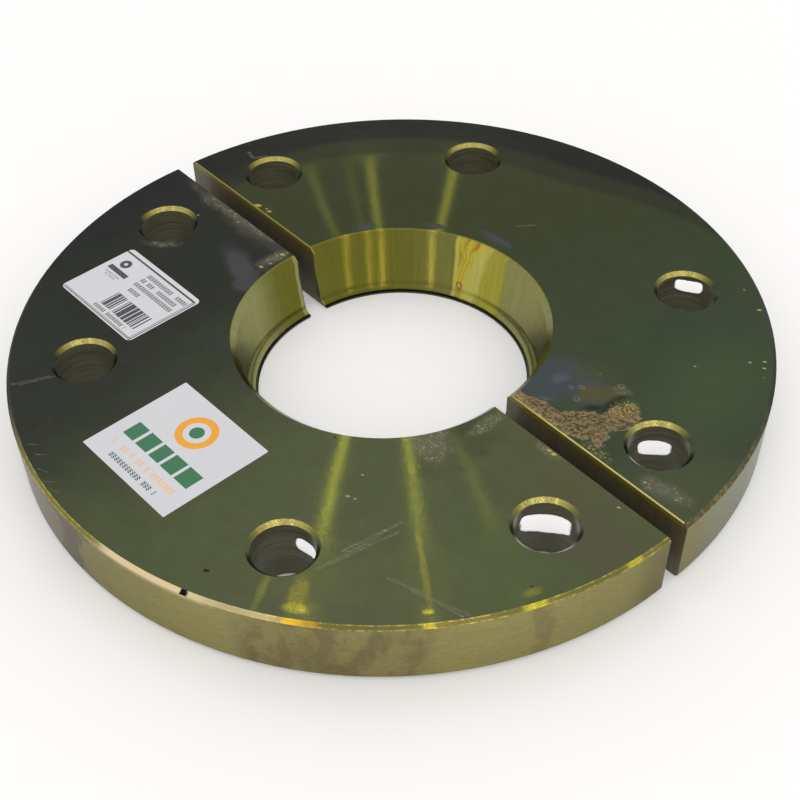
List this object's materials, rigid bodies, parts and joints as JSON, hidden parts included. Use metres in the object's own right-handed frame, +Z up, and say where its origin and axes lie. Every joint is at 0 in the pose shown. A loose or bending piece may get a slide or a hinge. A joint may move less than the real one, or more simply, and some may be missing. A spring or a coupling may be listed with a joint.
{
  "type": "split flange clamp",
  "caption": "Split flange clamp: a heavy plated steel ring sawn into two halves, with a tapered bore that grips a fitting's collar and bolt holes through its face.",
  "frame": {"origin": "middle of the pair of halves, on the underside", "axes": "+Z up along the bore; +X along the saw cut; +Y towards the back half, the one without labels"},
  "size_m": [0.2666, 0.2727, 0.0256],
  "materials": {
    "plated_steel": "turned and sawn steel with worn yellow zinc chromate plating",
    "label_paper": "matt printed sticker paper"
  },
  "bodies": {
    "root": {"front_half": "plated_steel", "back_half": "plated_steel", "stock_label": "label_paper", "square_label": "label_paper"}
  },
  "joints": []
}
